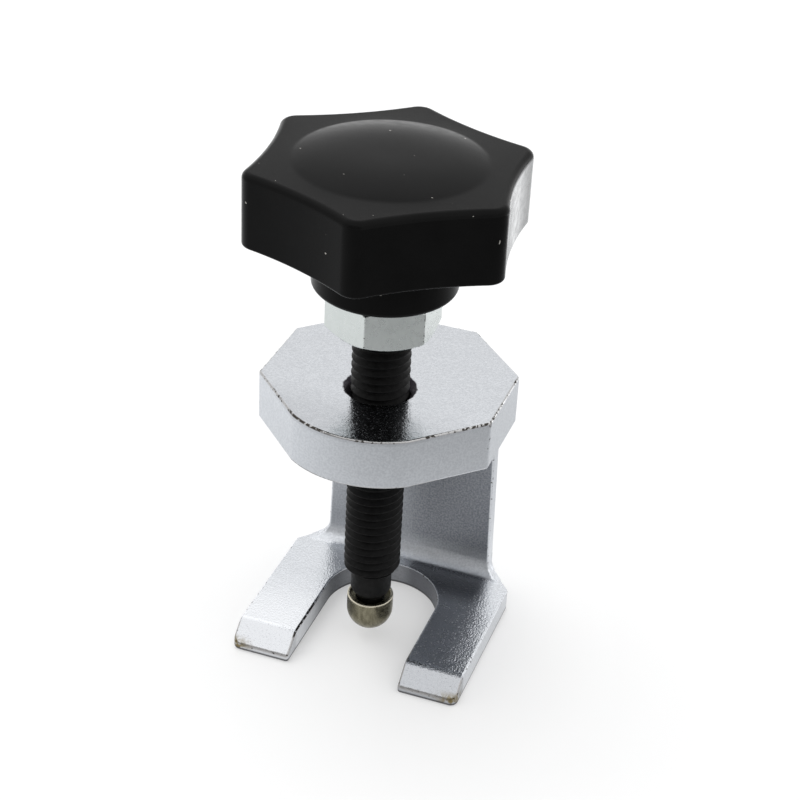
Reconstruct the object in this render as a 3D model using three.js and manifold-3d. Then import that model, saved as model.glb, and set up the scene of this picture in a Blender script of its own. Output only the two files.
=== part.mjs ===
// Screw-operated fork puller: forged C-frame, star-knob spindle and a swivelling tip.
// Millimetres, +Z up.  The fork stands on z = 0 and opens towards -Y.
import * as THREE from 'three';
import { mergeVertices } from 'three/addons/utils/BufferGeometryUtils.js';
import Module from 'manifold-3d';

const wasm = await Module();
wasm.setup();

// ---------------------------------------------------------------- driving dimensions
// Every Y below is measured from the spindle axis; the outer group shifts them all.

// Frame, heights
const FORK_THICK = 4.25;
const HEAD_BOTTOM = 43;
const HEAD_TOP = 52;
const WEB_FRONT_Y = 20.3;
const BACK_Y = 24.7;
const INNER_FILLET = 3;
const INNER_FILLET_STEPS = 6;
const BACK_EDGE_RADIUS = 0.8;

// Frame, head plate seen from above
const HEAD_HALF_WIDTH = 20.45;
const HEAD_SIDE_FRONT_Y = -3.4;
const HEAD_SIDE_BACK_Y = 12.9;
const HEAD_BACK_HALF = 9.2;
const HEAD_NOSE_RADIUS = 17.2;
const HEAD_NOSE_HALF_ANGLE = THREE.MathUtils.degToRad(36);
const HEAD_NOSE_STEPS = 12;

// Frame, web seen from the front
const WEB_HALF_TOP = 15;
const WEB_HALF_BOTTOM = 15.9;
const WEB_MASK_FRONT_Y = 16.5;
const WEB_BACK_RADIUS = 2.1;

// Frame, fork seen from above
const FORK_HALF_WIDTH = 20.95;
const FORK_SHOULDER_Y = 16.9;
const FORK_CORNER_Y = 22.5;
const SLOT_RADIUS = 10.25;
const SLOT_CENTRE_Y = 6;
const SLOT_STEPS = 18;
const TIP_Y = -13.4;
const TIP_SLOPE_Y = -9.6;
const TIP_EDGE = 1.3;
const TIP_OUTER_RADIUS = 1.4;
const TIP_INNER_RADIUS = 0.5;
const TIP_CORNER_STEPS = 4;

// Thread, M10 x 1.5, right-handed
const PITCH = 1.5;
const THREAD_SIDES = 14;
const FLANK = Math.tan(THREE.MathUtils.degToRad(30));
const CREST_R = 4.95;
const CREST_HALF = 0.095;
const NUT_CREST_R = 4.35;
const THREAD_PLAY = 0.12;
const BORE_CHAMFER_TOP_R = 6.1;
const BORE_CHAMFER_BOTTOM_R = 5.6;

// Spindle, heights at rest
const SPINDLE_BOTTOM = 6.5;
const NECK_R = 2.3;
const RING_GROOVE_R = 1.95;
const RING_GROOVE_LOW = 6.95;
const RING_GROOVE_HIGH = 7.65;
const NOSE_BOTTOM = 9.9;
const NOSE_CHAMFER_TOP = 11.1;
const NOSE_CHAMFER_R = 3;
const NOSE_R = 3.6;
const THREAD_BOTTOM = 14.9;
const THREAD_FULL = 16.15;
const SPINDLE_TOP = 84;
const ENVELOPE_R = 5.05;
const THREAD_END_R = 3.85;
const SPINDLE_TOP_CHAMFER = 1;

// Swivel tip
const CAP_R = 4.1;
const CAP_BOTTOM = 2.3;
const CAP_TOP = 9.2;
const CAP_RIM_CHAMFER = 0.15;
const CAP_MOUTH_R = 3.65;
const CAP_MOUTH_BOTTOM = 8.6;
const CAP_BORE_R = 2.6;
const CAP_GROOVE_R = 3.1;
const CAP_GROOVE_LOW = 6.85;
const CAP_GROOVE_HIGH = 7.75;
const CAP_SEAT_TOP = 5.6;
const CAP_SEAT_BOTTOM = 3.3;
const CAP_SEAT_R = 1;
const CAP_DOME_STEPS = 7;
const BALL_R = 1.5;
const BALL_Z = 4.9;
const BALL_STEPS = 8;
const BALL_SIDES = 14;
const RING_R = 2.45;
const RING_WIRE_R = 0.33;
const RING_OPENING = THREE.MathUtils.degToRad(50);
const RING_STEPS = 24;
const WIRE_SIDES = 8;

// Jam nut, 17 mm across flats
const NUT_FLATS = 17;
const NUT_BOTTOM = 63.4;
const NUT_TOP = 71;
const NUT_FACE_R = 8.1;
const NUT_CHAMFER = 1;
const NUT_ANGLE = THREE.MathUtils.degToRad(31.6);

// Knob
const KNOB_TOP = 93;
const KNOB_BOTTOM = 80.5;
const KNOB_CORNER_R = 24.5;
const KNOB_WAIST_R = 20;
const KNOB_CORNER_FILLET = 3;
const KNOB_EDGE_TOP = 1.2;
const KNOB_EDGE_BOTTOM = 0.5;
const KNOB_ANGLE = THREE.MathUtils.degToRad(36.5);
const KNOB_LOBES = 6;
const CORNER_STEPS = 5;
const WAIST_STEPS = 8;
const DOME_R = 16;
const DOME_RISE = 1.3;
const DOME_STEPS = 4;
const HUB_R = 12;
const HUB_BOTTOM = 71.3;
const HUB_EDGE = 0.9;

// Threaded insert moulded into the knob
const INSERT_R = 7;
const INSERT_WAIST_R = 6.4;
const INSERT_WAIST_LOW = 75.5;
const INSERT_WAIST_HIGH = 80.5;
const INSERT_TOP = 86;
const INSERT_BORE_TOP = 84.6;
const INSERT_GAP = 0.3;

// Shared
const ROUND = 40;
const SMALL_ROUND = 28;
const EDGE_STEPS = 3;
const EMBED = 1;
const OVERLAP = 0.3;
const SLIVER = 0.003;
const MARGIN = 2;

// ---------------------------------------------------------------- materials
const material = (color, roughness, metalness) =>
  new THREE.MeshStandardMaterial({ color, roughness, metalness });
const SATIN_CHROME = material(0xc3c6c9, 0.32, 0.95);
const BLACK_OXIDE = material(0x161616, 0.45, 0.6);
const ZINC = material(0xc9ccc8, 0.35, 0.9);
const NICKEL = material(0x8e8a78, 0.35, 0.9);
const BALL_STEEL = material(0xb9bcc0, 0.15, 1);
const SPRING_STEEL = material(0x6c6f72, 0.35, 0.9);
const BLACK_PLASTIC = material(0x1b1b1c, 0.42, 0);
const BRASS = material(0xb08a3c, 0.4, 0.9);

// ---------------------------------------------------------------- solids
function toSolid(geometry) {
  const bare = geometry.clone();
  bare.deleteAttribute('normal');
  bare.deleteAttribute('uv');
  const merged = mergeVertices(bare, 1e-5);
  const vertProperties = new Float32Array(merged.attributes.position.array);
  const triVerts = new Uint32Array(merged.index.array);
  return new wasm.Manifold(new wasm.Mesh({ numProp: 3, vertProperties, triVerts }));
}

function toGeometry(solid) {
  const mesh = solid.getMesh();
  const geometry = new THREE.BufferGeometry();
  geometry.setAttribute('position', new THREE.BufferAttribute(mesh.vertProperties, 3));
  geometry.setIndex(new THREE.BufferAttribute(mesh.triVerts, 1));
  geometry.computeVertexNormals();
  return geometry;
}

const join = (first, ...rest) => rest.reduce((sum, next) => sum.add(next), first);
const cut = (first, ...rest) => rest.reduce((left, next) => left.subtract(next), first);

// Turned solid about Z from [radius, height] points, listed anticlockwise in the (r, z) plane.
function turned(points, sides) {
  const profile = points.map(([r, z]) => new THREE.Vector2(r, z));
  const geometry = new THREE.LatheGeometry(profile, sides);
  geometry.rotateX(Math.PI / 2);
  return toSolid(geometry);
}

const outlineShape = (points) => new THREE.Shape(points.map(([x, y]) => new THREE.Vector2(x, y)));

// Flat outline in the XY plane, raised from low to high.
function raised(points, low, high) {
  const settings = { depth: high - low, bevelEnabled: false };
  const geometry = new THREE.ExtrudeGeometry(outlineShape(points), settings);
  geometry.translate(0, 0, low);
  return toSolid(geometry);
}

// Outline in the YZ plane, spread over |x| <= half.
function spread(points, half) {
  const settings = { depth: 2 * half, bevelEnabled: false };
  const geometry = new THREE.ExtrudeGeometry(outlineShape(points), settings);
  geometry.translate(0, 0, -half);
  geometry.rotateY(Math.PI / 2);
  geometry.rotateX(Math.PI / 2);
  return toSolid(geometry);
}

// Points of an arc, both ends included.
function arc(x, y, radius, from, to, steps) {
  const points = [];
  for (let i = 0; i <= steps; i += 1) {
    const angle = from + ((to - from) * i) / steps;
    points.push([x + radius * Math.cos(angle), y + radius * Math.sin(angle)]);
  }
  return points;
}

const mirrored = (points) => points.map(([x, y]) => [-x, y]).reverse();
const square = (half) => [[-half, -half], [half, -half], [half, half], [-half, half]];

// ---------------------------------------------------------------- thread
// Ridge half-width at a radius, for a ridge that is the given half-width at CREST_R.
const ridgeHalf = (radius, half) => half + (CREST_R - radius) * FLANK;

// One pitch of the spindle's own thread: flat crest, sharp root.
const spindleRidge = [
  [-CREST_HALF, CREST_R],
  [CREST_HALF, CREST_R],
  [PITCH / 2, CREST_R - (PITCH / 2 - CREST_HALF) / FLANK],
];

// One pitch of the space that a mating thread leaves: sharp outside, flat inside.
const cutterHalf = ridgeHalf(NUT_CREST_R, CREST_HALF + THREAD_PLAY);
const cutterRidge = [
  [0, NUT_CREST_R + cutterHalf / FLANK],
  [cutterHalf, NUT_CREST_R],
  [PITCH - cutterHalf, NUT_CREST_R],
];

// Right-handed threaded rod on the Z axis.  Its rows follow the helix, so the last column of
// one turn meets the first column of the next; both ragged ends close on a point of the axis.
function threadedRod(ridge, low, high) {
  const rowsPerTurn = ridge.length;
  const start = Math.floor(low / PITCH) - 1;
  const turns = Math.ceil(high / PITCH) + 1 - start;
  const rows = turns * rowsPerTurn;
  const columnHeight = rows + rowsPerTurn + 1;
  const vertices = [];
  for (let column = 0; column < THREAD_SIDES; column += 1) {
    const angle = (2 * Math.PI * column) / THREAD_SIDES;
    for (let row = 0; row < columnHeight; row += 1) {
      const [offset, radius] = ridge[row % rowsPerTurn];
      const turn = start + Math.floor(row / rowsPerTurn) + column / THREAD_SIDES;
      vertices.push(radius * Math.cos(angle), radius * Math.sin(angle), turn * PITCH + offset);
    }
  }
  const bottomPoint = vertices.length / 3;
  vertices.push(0, 0, (start - 1) * PITCH);
  vertices.push(0, 0, (start + turns + 2) * PITCH);
  const vertex = (column, row) => (column < THREAD_SIDES
    ? column * columnHeight + row
    : row + rowsPerTurn);
  const triangles = [];
  for (let column = 0; column < THREAD_SIDES; column += 1) {
    for (let row = 0; row < rows; row += 1) {
      const corner = vertex(column, row);
      const across = vertex(column + 1, row);
      triangles.push(corner, across, across + 1, corner, across + 1, corner + 1);
    }
  }
  const bottomLoop = [];
  const topLoop = [];
  for (let row = 0; row < rowsPerTurn; row += 1) {
    bottomLoop.push(vertex(0, row));
    topLoop.push(vertex(0, rows + rowsPerTurn - row));
  }
  for (let column = 0; column < THREAD_SIDES; column += 1) {
    bottomLoop.push(vertex(THREAD_SIDES - column, 0));
    topLoop.push(vertex(column, rows));
  }
  closeLoop(triangles, bottomLoop, bottomPoint);
  closeLoop(triangles, topLoop, bottomPoint + 1);
  const geometry = new THREE.BufferGeometry();
  geometry.setAttribute('position', new THREE.Float32BufferAttribute(vertices, 3));
  geometry.setIndex(triangles);
  return toSolid(geometry.toNonIndexed());
}

function closeLoop(triangles, loop, point) {
  loop.forEach((from, i) => triangles.push(from, loop[(i + 1) % loop.length], point));
}

// ---------------------------------------------------------------- frame
// Side view of the C: head, web and fork in one outline, with the tips sloped off.
function sideOutline() {
  const quarter = Math.PI / 2;
  const inner = WEB_FRONT_Y - INNER_FILLET;
  const back = BACK_Y - BACK_EDGE_RADIUS;
  return [
    [TIP_Y - MARGIN, 0],
    ...arc(back, BACK_EDGE_RADIUS, BACK_EDGE_RADIUS, -quarter, 0, EDGE_STEPS),
    ...arc(back, HEAD_TOP - BACK_EDGE_RADIUS, BACK_EDGE_RADIUS, 0, quarter, EDGE_STEPS),
    [-HEAD_HALF_WIDTH, HEAD_TOP],
    [-HEAD_HALF_WIDTH, HEAD_BOTTOM],
    ...arc(inner, HEAD_BOTTOM - INNER_FILLET, INNER_FILLET, quarter, 0, INNER_FILLET_STEPS),
    ...arc(inner, FORK_THICK + INNER_FILLET, INNER_FILLET, 0, -quarter, INNER_FILLET_STEPS),
    [TIP_SLOPE_Y, FORK_THICK],
    [TIP_Y, TIP_EDGE],
    [TIP_Y - MARGIN, TIP_EDGE],
  ];
}

// Head plate from above: straight sides, two cut-off back corners, rounded front.
function headOutline() {
  const down = -Math.PI / 2;
  const right = [
    [HEAD_HALF_WIDTH, HEAD_SIDE_FRONT_Y],
    [HEAD_HALF_WIDTH, HEAD_SIDE_BACK_Y],
    [HEAD_BACK_HALF, BACK_Y],
  ];
  const nose = arc(0, 0, HEAD_NOSE_RADIUS, down - HEAD_NOSE_HALF_ANGLE,
    down + HEAD_NOSE_HALF_ANGLE, HEAD_NOSE_STEPS);
  return [...nose, ...right, ...mirrored(right)];
}

// Fork from above: shoulders, two parallel prongs with rounded corners and a round-bottomed slot.
function forkOutline() {
  const quarter = Math.PI / 2;
  const right = [
    ...arc(SLOT_RADIUS + TIP_INNER_RADIUS, TIP_Y + TIP_INNER_RADIUS, TIP_INNER_RADIUS,
      2 * quarter, 3 * quarter, TIP_CORNER_STEPS),
    ...arc(FORK_HALF_WIDTH - TIP_OUTER_RADIUS, TIP_Y + TIP_OUTER_RADIUS, TIP_OUTER_RADIUS,
      -quarter, 0, TIP_CORNER_STEPS),
    [FORK_HALF_WIDTH, FORK_SHOULDER_Y],
    [WEB_HALF_BOTTOM, FORK_CORNER_Y],
    ...webBackCorner(),
  ];
  const slot = arc(0, SLOT_CENTRE_Y, SLOT_RADIUS, 2 * quarter, 0, SLOT_STEPS);
  return [...right, ...mirrored(right), ...slot];
}

// The web's rounded back corner on the right, at its full width.
function webBackCorner() {
  const radius = WEB_BACK_RADIUS;
  return arc(WEB_HALF_BOTTOM - radius, BACK_Y - radius, radius, 0, Math.PI / 2, EDGE_STEPS);
}

// The web's half-width at a height: full at the fork, narrowing up to the head.
function webHalf(z) {
  const share = Math.max(0, z - FORK_THICK) / (HEAD_BOTTOM - FORK_THICK);
  return WEB_HALF_BOTTOM + (WEB_HALF_TOP - WEB_HALF_BOTTOM) * share;
}

// Web from above, as a tapered slab with its two feet, that keeps only the back part of the
// side outline.
function webMask() {
  const right = [[WEB_HALF_BOTTOM, WEB_MASK_FRONT_Y], ...webBackCorner()];
  const settings = { depth: HEAD_BOTTOM - FORK_THICK, bevelEnabled: false };
  const slab = new THREE.ExtrudeGeometry(outlineShape([...right, ...mirrored(right)]), settings);
  slab.translate(0, 0, FORK_THICK);
  const points = slab.attributes.position;
  for (let i = 0; i < points.count; i += 1) {
    points.setX(i, (points.getX(i) * webHalf(points.getZ(i))) / WEB_HALF_BOTTOM);
  }
  const web = join(toSolid(slab), ...[-1, 1].map(webFoot));
  return cut(web, ...[-1, 1].map(webShoulder));
}

// Fillet between one side of the web and the top of the fork, within the fork's outline.
function webFoot(side) {
  const top = FORK_THICK + INNER_FILLET;
  const wall = webHalf(top);
  const curve = arc(wall + INNER_FILLET, top, INNER_FILLET, -Math.PI / 2, -Math.PI,
    INNER_FILLET_STEPS);
  const outline = [
    [wall - EMBED, FORK_THICK - SLIVER],
    [wall + INNER_FILLET, FORK_THICK - SLIVER],
    ...curve,
    [wall - EMBED, top],
  ].map(([x, z]) => [side * x, z]);
  const depth = BACK_Y - WEB_MASK_FRONT_Y;
  const geometry = new THREE.ExtrudeGeometry(outlineShape(outline), { depth, bevelEnabled: false });
  geometry.rotateX(Math.PI / 2);
  geometry.translate(0, BACK_Y, 0);
  return toSolid(geometry).intersect(raised(forkOutline(), 0, HEAD_BOTTOM));
}

// 45 degree shoulder that carries the head's cut-off back corner down into the web.
function webShoulder(side) {
  const runX = HEAD_HALF_WIDTH - HEAD_BACK_HALF;
  const runY = BACK_Y - HEAD_SIDE_BACK_Y;
  const reach = Math.hypot(runX, runY);
  const geometry = new THREE.BoxGeometry(4 * reach, reach, reach);
  geometry.translate(0, reach / 2, 0);
  geometry.rotateX(Math.PI / 4);
  geometry.rotateZ(-side * Math.atan2(runY, runX));
  geometry.translate(side * HEAD_BACK_HALF, BACK_Y, HEAD_BOTTOM);
  return toSolid(geometry);
}

// 45 degree countersink of the threaded bore, opening at z = face.
function boreMouth(radius, face, direction) {
  const depth = radius - NUT_CREST_R;
  const outside = face + direction * MARGIN;
  const inside = face - direction * depth;
  const points = [
    [0, inside],
    [NUT_CREST_R, inside],
    [radius, face],
    [radius, outside],
    [0, outside],
  ];
  return turned(direction > 0 ? points : points.reverse(), ROUND);
}

function frame() {
  const masks = join(
    raised(headOutline(), HEAD_BOTTOM - SLIVER, HEAD_TOP + MARGIN),
    webMask(),
    raised(forkOutline(), -MARGIN, FORK_THICK + SLIVER),
  );
  const forging = spread(sideOutline(), FORK_HALF_WIDTH + MARGIN).intersect(masks);
  return cut(
    forging,
    threadedRod(cutterRidge, HEAD_BOTTOM - MARGIN, HEAD_TOP + MARGIN),
    boreMouth(BORE_CHAMFER_TOP_R, HEAD_TOP, 1),
    boreMouth(BORE_CHAMFER_BOTTOM_R, HEAD_BOTTOM, -1),
  );
}

// ---------------------------------------------------------------- spindle and its fittings
function spindle() {
  const envelope = turned([
    [0, THREAD_BOTTOM],
    [THREAD_END_R, THREAD_BOTTOM],
    [ENVELOPE_R, THREAD_FULL],
    [ENVELOPE_R, SPINDLE_TOP - SPINDLE_TOP_CHAMFER],
    [ENVELOPE_R - SPINDLE_TOP_CHAMFER, SPINDLE_TOP],
    [0, SPINDLE_TOP],
  ], SMALL_ROUND);
  const thread = threadedRod(spindleRidge, THREAD_BOTTOM, SPINDLE_TOP).intersect(envelope);
  const end = turned([
    [0, SPINDLE_BOTTOM],
    [NECK_R, SPINDLE_BOTTOM],
    [NECK_R, RING_GROOVE_LOW],
    [RING_GROOVE_R, RING_GROOVE_LOW],
    [RING_GROOVE_R, RING_GROOVE_HIGH],
    [NECK_R, RING_GROOVE_HIGH],
    [NECK_R, NOSE_BOTTOM],
    [NOSE_CHAMFER_R, NOSE_BOTTOM],
    [NOSE_R, NOSE_CHAMFER_TOP],
    [NOSE_R, THREAD_BOTTOM + OVERLAP],
    [0, THREAD_BOTTOM + OVERLAP],
  ], SMALL_ROUND);
  return join(thread, end);
}

// Cup with a domed working face, a ball seat and a groove for the retaining ring.
function tipCap() {
  const domeCentre = CAP_BOTTOM + CAP_R;
  return turned([
    ...arc(0, domeCentre, CAP_R, -Math.PI / 2, 0, CAP_DOME_STEPS),
    [CAP_R, CAP_TOP - CAP_RIM_CHAMFER],
    [CAP_R - CAP_RIM_CHAMFER, CAP_TOP],
    [CAP_MOUTH_R, CAP_TOP],
    [CAP_MOUTH_R, CAP_MOUTH_BOTTOM],
    [CAP_BORE_R, CAP_MOUTH_BOTTOM],
    [CAP_BORE_R, CAP_GROOVE_HIGH],
    [CAP_GROOVE_R, CAP_GROOVE_HIGH],
    [CAP_GROOVE_R, CAP_GROOVE_LOW],
    [CAP_BORE_R, CAP_GROOVE_LOW],
    [CAP_BORE_R, CAP_SEAT_TOP],
    [CAP_SEAT_R, CAP_SEAT_BOTTOM],
    [0, CAP_SEAT_BOTTOM],
  ], SMALL_ROUND);
}

function thrustBall() {
  return turned(arc(0, BALL_Z, BALL_R, -Math.PI / 2, Math.PI / 2, BALL_STEPS), BALL_SIDES);
}

// Open wire ring: a round section swept along an arc.
function snapRing() {
  const from = RING_OPENING / 2;
  const to = 2 * Math.PI - RING_OPENING / 2;
  const centreline = arc(0, 0, RING_R, from, to, RING_STEPS);
  const path = new THREE.CatmullRomCurve3(centreline.map(([x, y]) => new THREE.Vector3(x, y, 0)));
  const wire = arc(0, 0, RING_WIRE_R, 0, 2 * Math.PI, WIRE_SIDES).slice(1);
  const section = outlineShape(wire);
  const geometry = new THREE.ExtrudeGeometry(section, { steps: RING_STEPS, extrudePath: path });
  geometry.translate(0, 0, (RING_GROOVE_LOW + RING_GROOVE_HIGH) / 2);
  return toSolid(geometry);
}

function jamNut() {
  const corner = NUT_FLATS / Math.sqrt(3);
  const hexagon = arc(0, 0, corner, NUT_ANGLE, NUT_ANGLE + 2 * Math.PI, 6).slice(1);
  const chamfered = turned([
    [0, NUT_BOTTOM],
    [NUT_FACE_R, NUT_BOTTOM],
    [corner, NUT_BOTTOM + NUT_CHAMFER],
    [corner + NUT_CHAMFER, NUT_BOTTOM + 2 * NUT_CHAMFER],
    [corner + NUT_CHAMFER, NUT_TOP - 2 * NUT_CHAMFER],
    [corner, NUT_TOP - NUT_CHAMFER],
    [NUT_FACE_R, NUT_TOP],
    [0, NUT_TOP],
  ], ROUND);
  return cut(
    raised(hexagon, NUT_BOTTOM - MARGIN, NUT_TOP + MARGIN).intersect(chamfered),
    threadedRod(cutterRidge, NUT_BOTTOM - MARGIN, NUT_TOP + MARGIN),
  );
}

// ---------------------------------------------------------------- knob
// Six-lobed outline: concave sides on large circles, joined by rounded corners.
function knobGeometry() {
  const half = Math.PI / KNOB_LOBES;
  const sideCentre = (KNOB_CORNER_R ** 2 - KNOB_WAIST_R ** 2)
    / (2 * (KNOB_CORNER_R * Math.cos(half) - KNOB_WAIST_R));
  const sideRadius = sideCentre - KNOB_WAIST_R;
  const across = sideCentre * Math.sin(half);
  const reach = Math.sqrt((sideRadius + KNOB_CORNER_FILLET) ** 2 - across ** 2);
  const cornerCentre = sideCentre * Math.cos(half) - reach;
  const cornerHalf = Math.atan2(across, reach);
  const sideHalf = cornerHalf - half;
  return { half, sideCentre, sideRadius, cornerCentre, cornerHalf, sideHalf };
}

function knobOutline() {
  const { half, sideCentre, sideRadius, cornerCentre, cornerHalf, sideHalf } = knobGeometry();
  const points = [];
  for (let lobe = 0; lobe < KNOB_LOBES; lobe += 1) {
    const corner = KNOB_ANGLE + lobe * 2 * half;
    const side = corner + half;
    points.push(...arc(cornerCentre * Math.cos(corner), cornerCentre * Math.sin(corner),
      KNOB_CORNER_FILLET, corner - cornerHalf, corner + cornerHalf, CORNER_STEPS));
    points.push(...arc(sideCentre * Math.cos(side), sideCentre * Math.sin(side), sideRadius,
      side + Math.PI + sideHalf, side + Math.PI - sideHalf, WAIST_STEPS).slice(1, -1));
  }
  return points;
}

// Star body whose top and bottom edges are rounded by insetting the outline in steps.
function star() {
  const shape = outlineShape(knobOutline());
  const rounded = (edge, low, high) => {
    const geometry = new THREE.ExtrudeGeometry(shape, {
      depth: high - low - 2 * edge,
      bevelThickness: edge,
      bevelSize: edge,
      bevelOffset: -edge,
      bevelSegments: EDGE_STEPS,
    });
    geometry.translate(0, 0, low + edge);
    return toSolid(geometry);
  };
  const middle = (KNOB_TOP + KNOB_BOTTOM) / 2;
  const upper = rounded(KNOB_EDGE_TOP, KNOB_BOTTOM - MARGIN, KNOB_TOP);
  const lower = rounded(KNOB_EDGE_BOTTOM, KNOB_BOTTOM, KNOB_TOP + MARGIN);
  const slab = (low, high) => raised(square(KNOB_CORNER_R), low, high);
  return join(
    upper.intersect(slab(middle, KNOB_TOP + MARGIN)),
    lower.intersect(slab(KNOB_BOTTOM - MARGIN, middle + OVERLAP)),
  );
}

// Shallow spherical rise on the knob's top face.
function dome() {
  const sphere = (DOME_R ** 2 + DOME_RISE ** 2) / (2 * DOME_RISE);
  const centre = KNOB_TOP + DOME_RISE - sphere;
  const edge = Math.asin(DOME_R / sphere);
  const crown = arc(0, centre, sphere, Math.PI / 2 - edge, Math.PI / 2, DOME_STEPS);
  return turned([[0, KNOB_TOP - EMBED], [DOME_R, KNOB_TOP - EMBED], ...crown], ROUND);
}

function knobBody() {
  const hub = turned([
    [0, HUB_BOTTOM],
    ...arc(HUB_R - HUB_EDGE, HUB_BOTTOM + HUB_EDGE, HUB_EDGE, -Math.PI / 2, 0, EDGE_STEPS),
    [HUB_R, KNOB_BOTTOM + EMBED],
    [0, KNOB_BOTTOM + EMBED],
  ], ROUND);
  return cut(join(star(), hub, dome()), insertShape(INSERT_GAP));
}

// Turned outline of the insert, grown by a gap all round to make its seat in the knob.
function insertShape(gap) {
  const step = INSERT_R - INSERT_WAIST_R;
  return turned([
    [0, HUB_BOTTOM - gap],
    [INSERT_R + gap, HUB_BOTTOM - gap],
    [INSERT_R + gap, INSERT_WAIST_LOW],
    [INSERT_WAIST_R + gap, INSERT_WAIST_LOW + step],
    [INSERT_WAIST_R + gap, INSERT_WAIST_HIGH - step],
    [INSERT_R + gap, INSERT_WAIST_HIGH],
    [INSERT_R + gap, INSERT_TOP + gap],
    [0, INSERT_TOP + gap],
  ], SMALL_ROUND);
}

function knobInsert() {
  const bore = threadedRod(cutterRidge, HUB_BOTTOM - MARGIN, INSERT_BORE_TOP + MARGIN);
  const limit = turned([
    [0, HUB_BOTTOM - MARGIN],
    [NUT_CREST_R + MARGIN, HUB_BOTTOM - MARGIN],
    [NUT_CREST_R + MARGIN, INSERT_BORE_TOP],
    [0, INSERT_BORE_TOP],
  ], SMALL_ROUND);
  return cut(insertShape(0), bore.intersect(limit));
}

// ---------------------------------------------------------------- assembly
function piece(name, solid, finish) {
  const mesh = new THREE.Mesh(toGeometry(solid), finish);
  mesh.name = name;
  return mesh;
}

// How far the knob reaches along Y from the spindle axis.
function knobReachY() {
  return Math.max(...knobOutline().map(([, y]) => y));
}

const puller = new THREE.Group();
puller.position.y = -(BACK_Y - knobReachY()) / 2;
puller.add(piece('frame', frame(), SATIN_CHROME));
puller.add(piece('spindle', spindle(), BLACK_OXIDE));
puller.add(piece('jam_nut', jamNut(), ZINC));
puller.add(piece('knob_body', knobBody(), BLACK_PLASTIC));
puller.add(piece('knob_insert', knobInsert(), BRASS));
puller.add(piece('tip_cap', tipCap(), NICKEL));
puller.add(piece('thrust_ball', thrustBall(), BALL_STEEL));
puller.add(piece('snap_ring', snapRing(), SPRING_STEEL));

const object = new THREE.Group();
object.add(puller);

export default object;
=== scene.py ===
from math import atan2, ceil, cos, floor, pi, radians, sin, sqrt, tan

import bmesh
import bpy
from mathutils import Matrix, Vector


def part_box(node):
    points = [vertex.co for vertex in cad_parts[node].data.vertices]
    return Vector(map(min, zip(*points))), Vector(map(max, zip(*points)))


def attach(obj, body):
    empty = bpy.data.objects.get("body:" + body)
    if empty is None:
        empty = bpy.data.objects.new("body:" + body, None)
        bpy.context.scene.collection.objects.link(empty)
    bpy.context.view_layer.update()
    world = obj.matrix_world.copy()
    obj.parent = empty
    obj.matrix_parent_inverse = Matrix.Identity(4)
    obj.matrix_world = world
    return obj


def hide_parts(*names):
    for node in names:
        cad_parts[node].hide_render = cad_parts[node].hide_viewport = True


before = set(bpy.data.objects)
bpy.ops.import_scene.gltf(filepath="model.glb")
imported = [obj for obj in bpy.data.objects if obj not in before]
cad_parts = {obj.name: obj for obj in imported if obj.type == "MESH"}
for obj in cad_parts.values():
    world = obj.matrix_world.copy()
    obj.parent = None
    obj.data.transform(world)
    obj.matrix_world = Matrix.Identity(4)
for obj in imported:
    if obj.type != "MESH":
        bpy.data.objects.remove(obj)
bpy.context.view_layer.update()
scene = bpy.context.scene

MM = 0.001
AXIS_Y = sum(corner.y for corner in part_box("spindle")) / 2


def box_mm(node):
    """A CAD node's lowest and highest corners, in millimetres about the spindle's axis."""
    shift = Vector((0, AXIS_Y, 0))
    return [(corner - shift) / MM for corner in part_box(node)]


# ---------------------------------------------------------------- sizes
FRAME_LOW, FRAME_HIGH = box_mm("frame")
KNOB_LOW, KNOB_HIGH = box_mm("knob_body")
NUT_LOW, NUT_HIGH = box_mm("jam_nut")
CAP_LOW, CAP_HIGH = box_mm("tip_cap")
SPINDLE_LOW, SPINDLE_HIGH = box_mm("spindle")
BALL_LOW, BALL_HIGH = box_mm("thrust_ball")
INSERT_LOW, INSERT_HIGH = box_mm("knob_insert")
RING_LOW, RING_HIGH = box_mm("snap_ring")

# Frame
HEAD_TOP = FRAME_HIGH.z
HEAD_THICK = 9
HEAD_BOTTOM = HEAD_TOP - HEAD_THICK
BACK_Y = FRAME_HIGH.y
WEB_THICK = 4.4
WEB_FRONT_Y = BACK_Y - WEB_THICK
FORK_THICK = 4.25
INNER_FILLET = 3
HEAD_HALF_WIDTH = 20.45
HEAD_SIDE_FRONT_Y = -3.4
HEAD_SIDE_BACK_Y = 12.9
HEAD_BACK_HALF = 9.2
HEAD_NOSE_RADIUS = -FRAME_LOW.y
HEAD_NOSE_HALF_ANGLE = radians(36)
WEB_HALF_TOP = 15
WEB_HALF_BOTTOM = 15.9
WEB_MASK_FRONT_Y = 16.5
WEB_BACK_RADIUS = 2.1
FORK_HALF_WIDTH = FRAME_HIGH.x
FORK_SHOULDER_Y = 16.9
FORK_CORNER_Y = 22.5
SLOT_RADIUS = 10.25
SLOT_CENTRE_Y = 6
TIP_Y = -13.4
TIP_SLOPE_Y = -9.6
TIP_EDGE = 1.3
TIP_OUTER_RADIUS = 1.4
TIP_INNER_RADIUS = 0.5
TIP_BREAK_RADIUS = 2.5
EDGE_ROUND = 0.4
BORE_MOUTH_TOP_R = 6.1
BORE_MOUTH_BOTTOM_R = 5.6

# Thread, M10 x 1.5
PITCH = 1.5
THREAD_SIDES = 64
FLANK = tan(radians(30))
CREST_R = 4.95
CREST_HALF = 0.095
CREST_SHOULDER = 0.1
ROOT_R = 4.03
ROOT_ROUND = 0.09
BORE_R = 4.35
THREAD_PLAY = 0.12

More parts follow.
